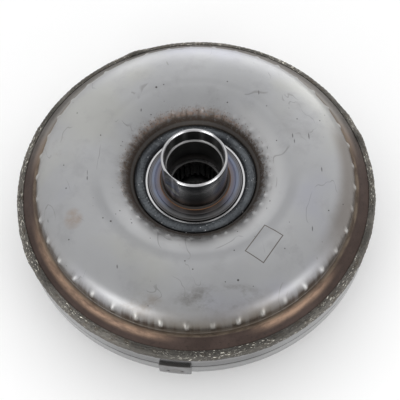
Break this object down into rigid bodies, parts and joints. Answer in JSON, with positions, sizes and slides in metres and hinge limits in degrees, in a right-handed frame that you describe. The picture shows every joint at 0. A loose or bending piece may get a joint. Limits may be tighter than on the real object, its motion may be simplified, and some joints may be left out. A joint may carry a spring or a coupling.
{
  "type": "torque converter",
  "caption": "Welded torque converter with splined hub sleeve, impeller, turbine, one-way-clutch stator and lock-up damper.",
  "frame": {"origin": "on the spin axis, in the plane of the drive block faces that the converter stands on", "axes": "+Z along the spin axis towards the end of the pump drive sleeve"},
  "size_m": [0.26, 0.2612, 0.0975],
  "materials": {
    "cover_steel": "satin machined",
    "shell_steel": "satin, heat tinted",
    "weld_steel": "rough weld bead",
    "hub_steel": "ground and polished",
    "block_steel": "machined",
    "plate_steel": "stamped",
    "weight_steel": "dark satin",
    "bearing_steel": "polished",
    "cage_metal": "stamped",
    "washer_bronze": "satin",
    "cast_aluminium": "cast",
    "hard_steel": "hardened and ground",
    "spring_steel": "blued",
    "lining_paper": "fibrous friction lining",
    "seal_black": "matt"
  },
  "bodies": {
    "housing": {"front_cover": "cover_steel", "crank_pilot": "block_steel", "pilot_weld": "weld_steel", "drive_blocks": "block_steel", "drive_block_welds": "weld_steel", "cover_thrust_washer": "washer_bronze", "impeller_shell": "shell_steel", "impeller_blades": "plate_steel", "impeller_core_ring": "plate_steel", "pump_drive_sleeve": "hub_steel", "hub_flange": "hub_steel", "hub_weld": "weld_steel", "closure_weld": "weld_steel", "balance_weight": "weight_steel", "rear_bearing_hub_race": "bearing_steel"},
    "rear_bearing": {"rear_bearing_cage": "cage_metal", "rear_bearing_needles": "bearing_steel"},
    "stator_race": {"rear_bearing_stator_race": "bearing_steel", "stator_inner_race": "hard_steel", "front_bearing_stator_race": "bearing_steel"},
    "stator": {"stator_wheel": "cast_aluminium", "clutch_cam_ring": "hard_steel", "clutch_rollers": "bearing_steel", "clutch_roller_springs": "spring_steel", "clutch_rear_plate": "plate_steel", "clutch_front_plate": "plate_steel", "stator_snap_ring": "spring_steel"},
    "front_bearing": {"front_bearing_cage": "cage_metal", "front_bearing_needles": "bearing_steel"},
    "turbine": {"front_bearing_turbine_race": "bearing_steel", "turbine_shell": "plate_steel", "turbine_blades": "plate_steel", "turbine_core_ring": "plate_steel", "turbine_hub": "hard_steel", "turbine_rivets": "block_steel", "hub_seal_ring": "seal_black", "damper_driven_plate": "plate_steel"},
    "damper": {"damper_cage": "plate_steel", "damper_stops": "plate_steel", "damper_springs": "spring_steel"},
    "piston": {"lockup_piston": "plate_steel", "friction_lining": "lining_paper"}
  },
  "joints": [
    {"name": "stator_race_spin", "type": "hinge", "parent": "housing", "child": "stator_race", "pos_m": [0, 0, 0.0495], "axis": [0, 0, 1], "continuous": true},
    {"name": "rear_bearing_roll", "type": "hinge", "parent": "housing", "child": "rear_bearing", "pos_m": [0, 0, 0.0578], "axis": [0, 0, 1], "continuous": true},
    {"name": "stator_freewheel", "type": "hinge", "parent": "stator_race", "child": "stator", "pos_m": [0, 0, 0.0495], "axis": [0, 0, 1], "continuous": true},
    {"name": "turbine_spin", "type": "hinge", "parent": "stator_race", "child": "turbine", "pos_m": [0, 0, 0.035], "axis": [0, 0, 1], "continuous": true},
    {"name": "front_bearing_roll", "type": "hinge", "parent": "stator_race", "child": "front_bearing", "pos_m": [0, 0, 0.0413], "axis": [0, 0, 1], "continuous": true},
    {"name": "damper_twist", "type": "hinge", "parent": "turbine", "child": "damper", "pos_m": [0, 0, 0.0284], "axis": [0, 0, 1], "range_deg": [-8, 8], "stiffness_Nm_per_rad": 600, "deforming": ["damper_springs"]},
    {"name": "piston_slide", "type": "slide", "parent": "damper", "child": "piston", "axis": [0, 0, 1], "range_m": [0, 0.001]}
  ],
  "couplings": [
    {"joint": "rear_bearing_roll", "follows": "stator_race_spin", "ratio": 0.5},
    {"joint": "front_bearing_roll", "follows": "turbine_spin", "ratio": 0.5}
  ]
}
